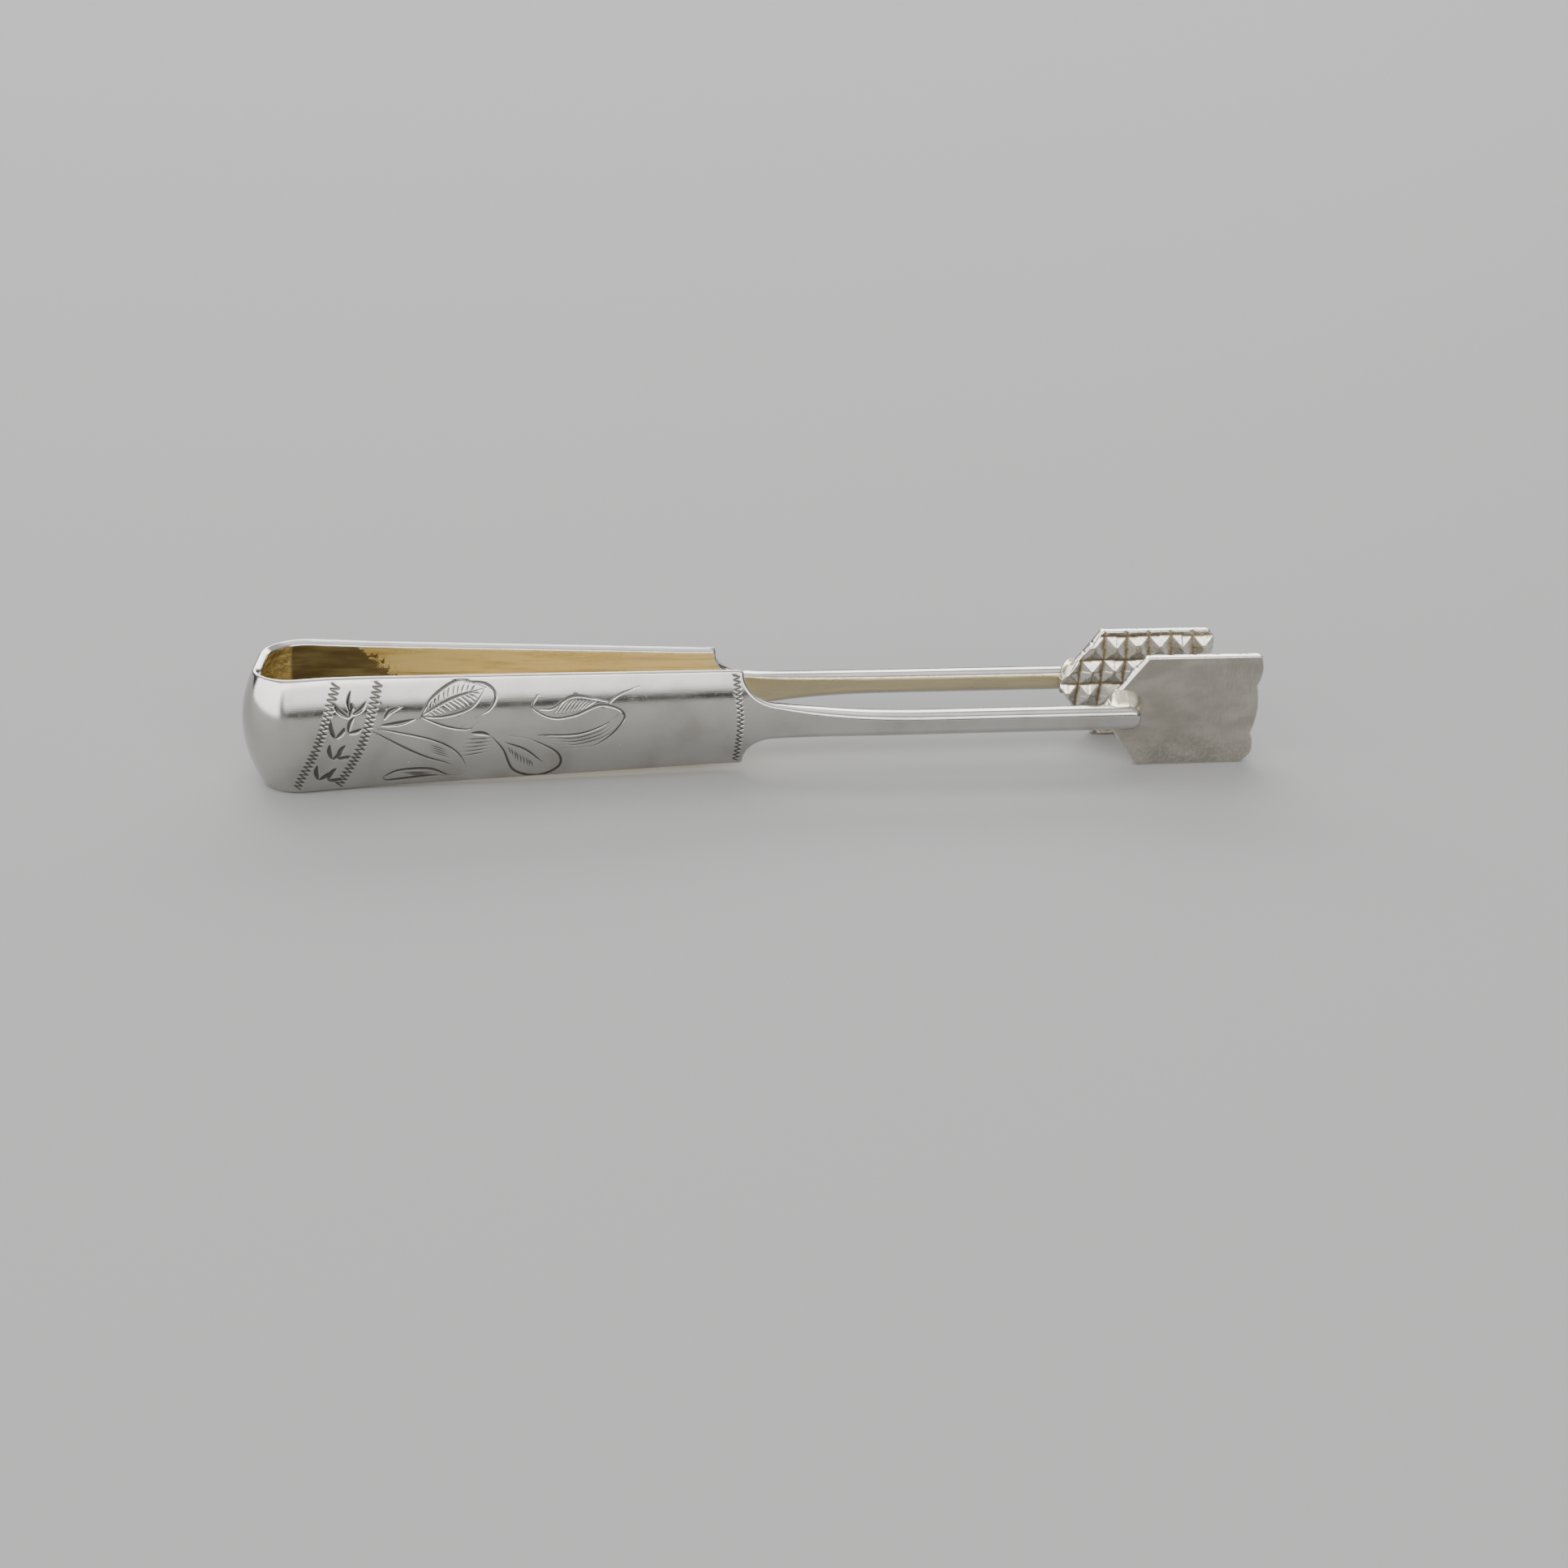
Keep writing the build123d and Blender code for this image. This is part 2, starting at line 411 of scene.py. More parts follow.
def leaf(base, tip, left, right, hatches):
    """A leaf from its base to its tip, bulging to the left and right of its rib."""
    base, tip = np.array(base, float), np.array(tip, float)
    across = (tip - base)[::-1] * (-1, 1)
    rib = (base, base + 0.5 * (tip - base) + 0.06 * across, tip)
    edges = []
    for bulge in (left, -right):
        shoulder_point = base + 0.3 * (tip - base) + 0.8 * bulge * across
        cheek = base + 0.7 * (tip - base) + bulge * across
        edges.append((base, shoulder_point, cheek, tip))
    cuts = [cut(edge, LINE) for edge in edges] + [cut(rib, LINE)]
    for edge, count in zip(edges, hatches):
        cuts += hatching(edge, rib, count)
    return cuts


def engraving():
    """All cuts on a handle's outer face, in station and height."""
    # The band of sprigs between two borders.
    border_width, border_pitch = 1.25, 0.78
    cuts = wriggle([(16.0, 8.6), (13.6, 2.1), (11.9, -1.9), (8.4, -8.6)], border_width, border_pitch)
    cuts += wriggle([(22.4, 8.6), (20.4, 2.0), (18.5, -2.5), (15.0, -8.6)], border_width, border_pitch)
    cuts += sprig((18.0, 3.9), 62, 3.6) + sprig((17.6, 3.4), 105, 3.2)
    cuts += sprig((15.2, 0.2), 72, 3.0) + sprig((17.2, 1.0), 40, 2.8)
    cuts += sprig((14.4, -3.4), 66, 2.7) + sprig((15.2, -3.2), 30, 2.6)
    cuts += sprig((12.0, -7.2), 62, 2.9) + sprig((13.4, -7.4), 30, 2.8)
    # The upper leaf on its stalk, half of it hatched each way.
    cuts += [cut([(22.2, 2.0), (25.4, 2.3), (28.6, 3.1)], BRIGHT, swell=0.15)]
    cuts += leaf((28.5, 3.2), (39.0, 7.2), 0.24, 0.16, (11, 12))
    cuts += [cut([(35.5, 8.3), (39.0, 7.8), (40.4, 6.0), (39.4, 3.9), (37.0, 2.6)], LINE)]
    cuts += [cut([(28.6, 3.1), (32.4, 1.4), (35.9, 0.8), (37.6, 2.0)], LINE)]
    cuts += [cut([(22.8, 2.9), (24.0, 4.3), (26.0, 4.9)], BRIGHT, swell=0.1)]
    # The long folded leaf below it.
    cuts += [cut([(20.6, 1.4), (28.2, -3.4), (32.6, -5.4), (34.2, -7.6)], LINE)]
    cuts += [cut([(21.6, 1.6), (29.6, -0.6), (33.6, -2.9), (35.2, -6.2), (34.2, -7.8)], LINE)]
    cuts += [cut([(22.0, -7.4), (24.6, -6.2), (29.4, -6.2), (32.2, -7.6), (34.2, -7.7)], BOLD)]
    cuts += [cut([(22.0, -7.4), (22.4, -8.1), (25.6, -7.9), (29.4, -7.6), (32.0, -7.7)], BOLD)]
    for row in range(4):
        cuts.append(cut([(24.5 + 0.6 * row, -6.7 - 0.25 * row), (30.4, -6.9 - 0.25 * row)], HAIR))
        cuts.append(cut([(29.6, -1.6 - 0.4 * row), (32.8 + 0.2 * row, -3.0 - 0.5 * row)], HAIR))
    # Short shading cuts and the round leaf.
    for row in range(5):
        start = (35.2 - 0.2 * row, -1.0 - 0.75 * row)
        cuts.append(cut([start, (40.4 - 0.3 * row, -0.9 - 0.6 * row)], HAIR))
    cuts += [cut([(36.2, 0.1), (38.2, -0.1), (39.6, -0.7)], BRIGHT, swell=0.1)]
    round_leaf = [(39.4, -0.6), (41.2, -3.2), (42.8, -7.4), (46.6, -8.7)]
    round_leaf += [(50.0, -7.0), (49.8, -4.2), (45.6, -1.5), (42.4, -0.7)]
    cuts += [cut(round_leaf, BOLD)]
    cuts += [cut([(41.4, -1.8), (44.8, -3.4), (48.2, -6.8)], LINE)]
    lower_edge = [(41.8, -3.6), (43.6, -6.6), (46.8, -7.8)]
    cuts += hatching(lower_edge, [(41.4, -2.2), (44.4, -4.4), (46.4, -6.4)], 9)
    # The scroll, its shaded upper lobe and its tail.
    scroll = [(47.0, 5.8), (46.2, 3.8), (49.2, 2.0), (52.8, 2.3), (57.0, 3.8)]
    scroll += [(60.4, 2.6), (60.3, 0.6), (56.2, -3.0), (50.8, -3.5)]
    cuts += [cut(scroll, LINE)]
    cuts += [cut([(47.2, 3.5), (49.4, 3.6), (52.8, 5.4), (58.1, 4.3)], LINE)]
    cuts += hatching([(50.4, 4.6), (53.0, 5.2), (57.6, 4.4)], [(48.8, 2.6), (52.0, 2.8), (55.8, 3.7)], 9)
    cuts += [cut([(57.6, 3.2), (59.8, 5.2), (63.4, 6.5)], HAIR)]
    for row in range(4):
        drop = 0.62 * row
        sweep = [(46.4 + 1.6 * row, -0.8 - drop), (53.0, -1.0 - drop)]
        sweep += [(57.4, 0.4 - 1.1 * drop), (59.9, 2.3 - drop)]
        cuts.append(cut(sweep, LINE if row == 0 else HAIR))
    # The border beside the shoulder.
    shoulder_border = [(79.2, 7.6), (79.6, 3.5), (79.9, 0.6), (79.7, -3.0), (79.2, -7.6)]
    return cuts + wriggle(shoulder_border, 0.95, 0.74)


def cut_depths(cuts, run, height):
    """How deep the engraving is at each point: rounded grooves, the deepest one winning."""
    steepness = 1.5
    depth = np.zeros(run.shape)
    for line, widths, depths in cuts:
        margin = widths.max()
        low, high = line.min(0) - margin, line.max(0) + margin
        near = (run > low[0]) & (run < high[0]) & (height > low[1]) & (height < high[1])
        if not near.any():
            continue
        points = np.stack((run[near], height[near]), axis=-1)[:, None]
        start, step = line[:-1], np.diff(line, axis=0)
        t = np.clip(((points - start) * step).sum(-1) / (step**2).sum(-1), 0, 1)
        gap = np.linalg.norm(points - start - t[..., None] * step, axis=-1)
        width = widths[:-1] + t * np.diff(widths)
        deep = depths[:-1] + t * np.diff(depths)
        groove = (deep * (1 - np.clip(gap / width, 0, 1) ** 2) ** steepness).max(1)
        depth[near] = np.maximum(depth[near], groove)
    return depth


# ---- The strip ----

seed = 11
plate_seed = seed + 40
solder_seed = seed + 80
ripple_height = 0.012  # hand polishing leaves the faces very slightly wavy
ripple_waves, ripple_lengths = 9, (7, 26)
ripple_start, ripple_end = 8, 40  # it fades over these lengths at the bow's middle and at the tip
ripple_edge = 0.25  # and over this share of the half width beside a rim
inner_edge, inner_blend = 0.78, 0.18  # where the rim's rounding turns into the inner face
merge_reach, merge_gap, least_edge = 2.2, 0.004, 0.001  # for joining points at the tip


def refine(rings):
    """The rings with FINE - 1 more between each pair."""
    steps = np.arange((len(rings) - 1) * FINE + 1) / FINE
    return np.column_stack([np.interp(steps, np.arange(len(rings)), column) for column in rings.T])


def grid_quads(index):
    """The four points of every cell of a grid of point numbers."""
    return np.stack((index[:-1, :-1], index[1:, :-1], index[1:, 1:], index[:-1, 1:]), axis=-1)


def cell_faces(index, engraved):
    """Faces of the outer face: a grid of quads in an engraved cell, one polygon in any other."""
    faces = []
    for i, j in np.ndindex(engraved.shape):
        a, b = i * FINE, j * FINE
        if engraved[i, j]:
            faces += grid_quads(index[a : a + FINE + 1, b : b + FINE + 1]).reshape(-1, 4).tolist()
        else:
            outline = np.concatenate((
                index[a : a + FINE, b],
                index[a + FINE, b : b + FINE],
                index[a + FINE : a : -1, b + FINE],
                index[a, b + FINE : b : -1],
            ))
            faces.append(outline[outline >= 0].tolist())
    return faces


def strip_half_mesh(name, side, setback, material):
    """One half of the strip, from the middle of the bow to the tip of its stem."""
    path, total = make_path(plan_corners(setback), bend_radii)
    rings = strip_rings(path, total, setback)
    columns = ring_columns()
    ring_count, face_count = len(rings), FACE_COLUMNS + 1
    shift = distance_at(path, total, handle_bend) - handle_bend
    field = waves(np.random.default_rng(seed + side), ripple_waves, ripple_lengths)

    # The outer face at full fineness, with its engraving and its faint ripple.
    steps = np.arange(FACE_COLUMNS * FINE + 1) / FINE
    face_tau = np.interp(steps, np.arange(face_count), columns[:face_count, 0])
    fine_columns = np.column_stack((face_tau, np.zeros_like(face_tau), *np.ones((2, len(face_tau)))))
    place, across, out, crowning = section_places(refine(rings), fine_columns)
    points, outward = strip_points(path, side, place, across, out, crowning)
    run = place - shift
    height = points[..., 2] - middle
    depth = cut_depths(engraving(), run, height)
    fade = np.clip((1 - np.abs(face_tau)) / ripple_edge, 0, 1)
    fade = fade * np.clip(place / ripple_start, 0, 1) * np.clip((total - place) / ripple_end, 0, 1)
    ripple = ripple_height * (field(place, height) - 1) * fade
    points = points - (depth - ripple)[..., None] * outward

    # Cells beside a cut are fine, the others coarse.
    corners = (depth[:-1, :-1], depth[1:, :-1], depth[:-1, 1:], depth[1:, 1:])
    blocks = np.maximum.reduce(corners).reshape(ring_count - 1, FINE, FACE_COLUMNS, FINE)
    engraved = (blocks > 0).any(axis=(1, 3))
    engraved[:, [0, 1, -2, -1]] = False
    index = np.full(points.shape[:2], -1)
    used = np.zeros(points.shape[:2], bool)
    used[::FINE, ::FINE] = True
    for i, j in zip(*np.nonzero(engraved)):
        used[i * FINE : (i + 1) * FINE + 1, j * FINE : (j + 1) * FINE + 1] = True
    index[used] = np.arange(used.sum())
    faces = cell_faces(index, engraved)

    # The rims and the inner face.
    rest_place, rest_across, rest_out, rest_crown = section_places(rings, columns[face_count:])
    rest_points, _ = strip_points(path, side, rest_place, rest_across, rest_out, rest_crown)
    rest_count = rest_points.shape[1]
    rest_index = used.sum() + np.arange(ring_count * rest_count).reshape(ring_count, rest_count)
    band = np.column_stack((index[::FINE, -1], rest_index, index[::FINE, 0]))
    faces += grid_quads(band).reshape(-1, 4).tolist()

    # A cap on its own points closes the half where it meets the other one.
    all_points = np.vstack((points[used], rest_points.reshape(-1, 3)))
    cap = np.concatenate((index[0, ::FINE], rest_index[0]))
    faces.append((len(all_points) + np.arange(len(cap))).tolist())
    inside = np.clip((-rest_out / rings[:, 4:5] - inner_edge) / inner_blend, 0, 1)
    lay = np.vstack((
        np.stack((side * place, across, out), axis=-1)[used],
        np.stack((side * rest_place, rest_across, rest_out), axis=-1).reshape(-1, 3),
    ))
    fields = {
        "lay": np.vstack((lay, lay[cap])),
        "inside": np.concatenate((np.zeros(used.sum()), inside.ravel(), np.zeros(len(cap)))),
        "cut": np.concatenate((depth[used] / LINE[1], np.zeros(rest_points[..., 0].size + len(cap)))),
    }
    made = make_object(name, np.vstack((all_points, all_points[cap])), faces, material, fields)
    merge_tip(made, bow_tip + along(path, np.array([total]))[0][0])
    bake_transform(made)
    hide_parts("bow", name.replace("_half_strip", "_arm"))
    return made


def merge_tip(made, end_x):
    """Joins the points that meet at the end of the stem, and leaves the rest as they are."""
    shape = bmesh.new()
    shape.from_mesh(made.data)
    tip = [v for v in shape.verts if v.co.x > (end_x - merge_reach) * MM]
    bmesh.ops.remove_doubles(shape, verts=tip, dist=merge_gap * MM)
    edges = {edge for v in tip if v.is_valid for edge in v.link_edges}
    bmesh.ops.dissolve_degenerate(shape, dist=least_edge * MM, edges=list(edges))
    shape.to_mesh(made.data)
    shape.free()


# ---- Grip plates ----

plate_corner = 148.3
nose_half = 0.8
plate_round = 0.32
tooth_length = 4.0
tooth_width = 4.35
groove_reach = 1.75  # half the width of a V groove
groove_depth = 1.0
scallop_depth = 0.7
grid_step = 0.155
steps_per_tooth = 26
TEETH = 16  # enough random values for every row and column
tooth_jitter = 0.035  # of a tooth's pitch
groove_blunt, groove_lift = 0.09, 0.05  # the bottom of a groove is slightly rounded
most_worn, wear_power, wear_scale = 0.26, 1.5, 1.6  # tips are worn down, most of them a little
plate_wave, plate_waves, plate_wave_lengths = 0.012, 8, (4, 14)
plate_back_rise = 0.015
nick_power, nick_depth = 60, 0.07  # the high power leaves only a few nicks
RIM_STEPS = 6
# Height where an end corner begins to round off, and how much is worn off it.
WORN_CORNER = {"right": (-7.3, 1.7), "left": (7.9, 0.9)}


def nose_edge(height, inset):
    """Station of the plate's edge on the stem's side, moved inwards by inset."""
    slope = (plate_corner - plate_nose) / (strip_half - nose_half)
    slant = plate_nose + (np.abs(height) - nose_half) * slope + inset * math.hypot(1, slope)
    return np.maximum(plate_nose + inset, slant)


def free_edge(height, inset, worn):
    """Station of the plate's scalloped end."""
    lobe_middle = (strip_half + tooth_width) / 2
    outer = (np.abs(height) - lobe_middle) / (lobe_middle - tooth_width)
    inner = height / tooth_width
    lobe = np.where(np.abs(height) > tooth_width, outer, inner)
    from_corner, most = worn
    past = np.clip((height - from_corner) / (math.copysign(strip_half, from_corner) - from_corner), 0, 1)
    return plate_end - inset - scallop_depth * lobe**2 - most * past**2


def tooth_depths(station, height, rng):
    """Depth below the tips: crossed V grooves, with the slight differences of handwork."""

    def number(values):
        return np.clip(values.astype(int), 0, TEETH - 1)

    first_row = TEETH / 4
    column = (plate_end - station) / tooth_length
    row = height / tooth_width
    jitter = rng.uniform(-tooth_jitter, tooth_jitter, (2, TEETH))
    column = column + jitter[0][number(np.round(row + first_row))]
    row = row + jitter[1][number(np.round(column + 1))]
    depth = np.zeros(station.shape)
    for place, pitch in ((column, tooth_length), (row, tooth_width)):
        gap = np.abs(place - np.round(place)) * pitch
        gap = np.hypot(gap, groove_blunt) - groove_lift
        depth = np.maximum(depth, groove_depth * np.clip(1 - gap / groove_reach, 0, 1))
    worn = rng.uniform(0.0, most_worn, (TEETH, TEETH)) ** wear_power * wear_scale
    return np.maximum(depth, worn[number(np.floor(column)), number(np.floor(row + first_row))])


def rim_rows(edge, top, bottom, rng):
    """Rows of points around a plate's rounded and slightly nicked rim, from its front to its back."""
    normal = left_normals(np.roll(edge, -1, axis=0) - np.roll(edge, 1, axis=0))
    normal = sum(np.roll(normal, turn, axis=0) for turn in (-1, 0, 1))
    normal /= np.linalg.norm(normal, axis=1)[:, None]
    nicks = rng.uniform(0, 1, len(edge)) ** nick_power * nick_depth
    quarter = np.linspace(0, math.pi / 2, RIM_STEPS)[1:]
    rows = [((plate_round - nicks) * math.sin(t), top - plate_round * (1 - math.cos(t))) for t in quarter]
    rows.append((plate_round - nicks, (top + bottom) / 2))
    for t in quarter[::-1]:
        rows.append(((plate_round - nicks) * math.sin(t), bottom + plate_round * (1 - math.cos(t))))
    return [np.column_stack((edge + reach[:, None] * normal, depth)) for reach, depth in rows]


def plate_mesh(name, side, setback, material):
    """A grip plate: toothed face, rounded rim and plain back."""
    rng = np.random.default_rng(plate_seed + side)
    face_half = strip_half - plate_round
    keys = np.concatenate(([-face_half], np.arange(-2, 2.1, 0.5) * tooth_width, [face_half]))
    heights = []
    for a, b in zip(keys, keys[1:]):
        heights.append(np.linspace(a, b, max(2, round((b - a) / grid_step)), endpoint=False))
    heights = np.concatenate((*heights, [face_half]))
    stations = np.arange(plate_end, plate_nose - grid_step, -tooth_length / steps_per_tooth)[::-1]
    left = nose_edge(heights, plate_round)
    right = free_edge(heights, plate_round, WORN_CORNER[name.split("_")[0]])
    grid = np.clip(stations[None, :], left[:, None], right[:, None])
    level = np.broadcast_to(heights[:, None], grid.shape)
    keep = np.ones(grid.shape, bool)
    keep[:, 1:] = np.diff(grid, axis=1) > 0
    index = np.cumsum(keep).reshape(grid.shape) - 1
    flat = np.column_stack((grid[keep], level[keep]))
    drop = tooth_depths(flat[:, 0], flat[:, 1], rng)
    wave = waves(rng, plate_waves, plate_wave_lengths)(flat[:, 0], flat[:, 1])
    front = plate_total - drop + plate_wave * (wave - 1)
    back = plate_back_rise + plate_wave * wave

    rings = [list(dict.fromkeys(quad)) for quad in grid_quads(index).reshape(-1, 4).tolist()]
    faces = [ring for ring in rings if len(ring) > 2]
    count = len(flat)
    faces += [[i + count for i in ring[::-1]] for ring in faces]

    loop = np.concatenate((index[-1], index[::-1, -1], index[0, ::-1], index[:, 0]))
    loop = loop[np.concatenate(([True], np.diff(loop) != 0))]
    loop = loop[:-1] if loop[0] == loop[-1] else loop
    rim = rim_rows(flat[loop], front[loop], back[loop], rng)
    places = np.vstack((np.column_stack((flat, front)), np.column_stack((flat, back)), *rim))
    around_rim = np.arange(len(loop))
    bands = [loop, *(2 * count + i * len(loop) + around_rim for i in range(len(rim))), loop + count]
    for a, b in zip(bands, bands[1:]):
        faces += np.stack((a, b, np.roll(b, -1), np.roll(a, -1)), axis=-1).tolist()

    station, height, out = places.T
    points = np.column_stack((bow_tip + station - setback, side * (plate_back - out), middle + height))
    number = np.arange(len(places))
    fields = {
        "lay": places,
        "hollow": np.concatenate((drop, np.zeros(len(places) - count))),
        "rim": (number >= 2 * count).astype(float),
        "back": ((number >= count) & (number < 2 * count)).astype(float),
    }
    made = make_object(name, points, faces, material, fields)
    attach(made, name.replace("_toothed_plate", "_arm"))
    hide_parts(name.replace("_toothed_plate", "_grip_plate"))
    return made


# ---- Solder ----

solder_start = plate_nose + 0.5
solder_sink = 1.25  # the solder begins this far under the stem's rounded edge
solder_reach = {"above": 2.3, "tip": 1.1, "below": 0.5}
solder_height = {"above": 2.3, "tip": 1.5, "below": 0.9}
solder_root = -0.12  # its lower side lies this far inside the plate
solder_start_height = 0.35  # share of its full height where the fillet begins and ends
solder_swell = 0.5  # how far its profile bulges above a straight slope
solder_shares = (0, 0.30, 0.5, 0.70, 1)  # above up to the second, tip at the third, then below
fade_rate, least_fade = 9, 0.02  # the fillet narrows towards both of its ends
lump_share, lump_waves, lump_lengths = 0.10, 6, (3.0, 7.0)
grain_height, grain_scale, grain_start = 0.012, 3, 0.05
SIDE_POINTS, END_POINTS, SOLDER_STEPS = 25, 31, 25


def solder_mesh(name, side, setback, material):
    """The frozen fillet of solder around the end of the stem, fuller above than below."""
    rng = np.random.default_rng(solder_seed + side)
    straight = np.linspace(0, 1, SIDE_POINTS + 1)[:-1]
    nose = stem_tip - tip_length
    turn = np.linspace(0, math.pi, END_POINTS)
    stem_run = solder_start + straight * (nose - solder_start)
    above = np.column_stack((stem_run, np.full(SIDE_POINTS, stem_half)))
    round_end = np.column_stack((nose + tip_length * np.sin(turn), stem_half * np.cos(turn)))
    below = above[::-1] * (1, -1)
    edge = np.vstack((above, round_end, below))
    normal = left_normals(np.gradient(edge, axis=0))
    share = np.linspace(0, 1, len(edge))
    lumps = waves(rng, lump_waves, lump_lengths)
    lump = 1 + lump_share * lumps(edge[:, 0], edge[:, 1] * 2)
    fade = np.sqrt(np.clip(np.minimum(share, 1 - share) * fade_rate, least_fade, 1))

    def around(values):
        stretches = ("above", "above", "tip", "below", "below")
        return np.interp(share, solder_shares, [values[stretch] for stretch in stretches])

    reach = around(solder_reach) * lump * fade
    rise = around(solder_height) * lump * (solder_start_height + (1 - solder_start_height) * fade)
    rows = []
    for t in np.linspace(0, 1, SOLDER_STEPS):
        gap = -solder_sink + t * (reach + solder_sink)
        fall = np.clip(gap / reach, 0, 1)
        profile = rise * (1 - fall) * (1 + solder_swell * fall)
        rows.append(np.column_stack((edge + gap[:, None] * normal, profile)))
    root = np.full(len(edge), solder_root)
    rows.append(np.column_stack((rows[-1][:, :2], root)))
    rows.append(np.column_stack((rows[0][:, :2], root)))
    places = np.vstack(rows)
    grain = grain_height * lumps(places[:, 0] * grain_scale, places[:, 1] * grain_scale)
    places[:, 2] += grain * (places[:, 2] > grain_start)
    count, depth = len(edge), len(rows)
    grid = np.arange(count * depth).reshape(depth, count)
    grid = np.vstack((grid, grid[:1]))
    faces = grid_quads(grid).reshape(-1, 4).tolist()
    faces += [grid[:-1, 0].tolist(), grid[:-1, -1][::-1].tolist()]
    station, height, out = places.T
    points = np.column_stack((bow_tip + station - setback, side * (plate_back + out), middle + height))
    made = make_object(name, points, faces, material, {"lay": places})
    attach(made, name.replace("_solder_fillet", "_arm"))
    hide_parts(name.replace("_solder_fillet", "_solder"))
    return made


# ---- Materials ----


class Shader:
    """A material's or world's node tree with short calls for the nodes used here."""

    def __init__(self, block, surface="Principled BSDF"):
        block.use_nodes = True
        self.block = block
        self.tree = block.node_tree
        self.surface = self.tree.nodes[surface]

    def node(self, kind, inputs, **settings):
        made = self.tree.nodes.new("ShaderNode" + kind)
        for key, value in settings.items():
            setattr(made, key, value)
        for key, value in inputs.items():
            self.plug(made.inputs[key], value)
        return made

    def plug(self, socket, value):
        """Links another node's output to a socket, or sets the socket's own value."""
        if isinstance(value, bpy.types.NodeSocket):
            self.tree.links.new(value, socket)
        else:
            socket.default_value = value

    def field(self, name, kind="Fac"):
        return self.node("Attribute", {}, attribute_name=name).outputs[kind]

    def math(self, operation, first, second=0.0):
        return self.node("Math", {0: first, 1: second}, operation=operation).outputs[0]

    def times(self, first, second):
        return self.math("MULTIPLY", first, second)

    def plus(self, first, second):
        return self.math("ADD", first, second)

    def dot(self, first, second):
        return self.node("VectorMath", {0: first, 1: second}, operation="DOT_PRODUCT").outputs["Value"]

    def stretch(self, vector, scale):
        return self.node("VectorMath", {0: vector, 1: scale}, operation="MULTIPLY").outputs[0]

    def noise(self, vector, scale, detail=3.0, roughness=0.55, distortion=0.0):
        values = {"Vector": vector, "Scale": scale, "Detail": detail}
        values |= {"Roughness": roughness, "Distortion": distortion}
        return self.node("TexNoise", values).outputs[0]

    def ramp(self, value, low, high, to_low=0.0, to_high=1.0):
        """Goes smoothly from to_low at low to to_high at high, which may be the smaller one."""
        values = {"Value": value, "From Min": low, "From Max": high, "To Min": to_low, "To Max": to_high}
        return self.node("MapRange", values, interpolation_type="SMOOTHSTEP").outputs[0]

    def mix(self, share, first, second):
        made = self.node("Mix", {}, data_type="RGBA")
        for socket, value in zip((made.inputs[0], made.inputs[6], made.inputs[7]), (share, first, second)):
            self.plug(socket, value)
        return made.outputs[2]

    def blend(self, share, first, second):
        made = self.node("Mix", {}, data_type="FLOAT")
        for socket, value in zip(made.inputs[:1] + made.inputs[2:4], (share, first, second)):
            self.plug(socket, value)
        return made.outputs[0]

    def bump(self, height, distance, before=None):
        """The normal of a relief of this height in metres, added to the one before."""
        values = {"Height": height, "Strength": 1.0, "Distance": distance}
        if before is not None:
            values["Normal"] = before
        return self.node("Bump", values).outputs[0]

    def finish(self, color, roughness, normal, metallic=1.0):
        self.plug(self.surface.inputs["Base Color"], color)
        self.plug(self.surface.inputs["Roughness"], roughness)
        self.plug(self.surface.inputs["Normal"], normal)
        self.plug(self.surface.inputs["Metallic"], metallic)
        return self.block


SILVER, SILVER_DULL = (0.535, 0.522, 0.495, 1), (0.44, 0.42, 0.385, 1)
OXIDE, DUST = (0.055, 0.048, 0.040, 1), (0.75, 0.74, 0.71, 1)
GOLD_LIGHT, GOLD_DEEP, GOLD_PALE = (1.0, 0.78, 0.30, 1), (0.76, 0.52, 0.14, 1), (0.95, 0.80, 0.46, 1)
STREAK_BROWN, MOTTLE_BROWN = (0.36, 0.26, 0.10, 1), (0.24, 0.155, 0.05, 1)
STEM_GREY = (0.47, 0.42, 0.29, 1)
TARNISH_DARK, TARNISH_OLIVE = (0.13, 0.092, 0.036, 1), (0.27, 0.205, 0.085, 1)
SATIN, SATIN_LIGHT, SATIN_BRUSHED = (0.34, 0.318, 0.272, 1), (0.42, 0.395, 0.345, 1), (0.52, 0.50, 0.455, 1)
# A paler, warmer tone used towards the bottom of a plate's back.
# Near-white specks: small nicks painted with their glint, a painted highlight.
PALE_LOW, NICK_GLINT = (0.58, 0.54, 0.45, 1), (1.0, 0.97, 0.88, 1)
TOOTH_BRIGHT, TOOTH_DULL, GROOVE_BROWN = (0.72, 0.70, 0.64, 1), (0.55, 0.52, 0.45, 1), (0.30, 0.20, 0.08, 1)
# The brown is painted shade, laid on the solder below the stem.
SOLDER_PALE, SOLDER_YELLOW, UNDER_STEM_SHADE = (0.97, 0.93, 0.80, 1), (0.86, 0.76, 0.54, 1), (0.26, 0.18, 0.09, 1)
FLOOR_GREY = (0.32, 0.32, 0.317, 1)

# Stations between which the inner face changes: where each look starts or ends.
GOLD_PALES, STEM_STARTS = (34, 80), (82, 92)
BOW_MOTTLE_ENDS, PATCH_STARTS, PATCH_ENDS = (13.5, 11.5), (12.2, 13.2), (33.6, 32.9)


def specks(shader, lay, pitch, size, share):
    """Scattered small dots: 1 on a dot, in about the given share of the cells."""
    cells = shader.node("TexVoronoi", {"Vector": lay, "Scale": 1 / pitch, "Randomness": 1.0})
    near = shader.ramp(cells.outputs["Distance"], size / pitch, 0.6 * size / pitch)
    pick = shader.node("SeparateColor", {0: cells.outputs["Color"]}).outputs[0]
    return shader.times(near, shader.math("LESS_THAN", pick, share))


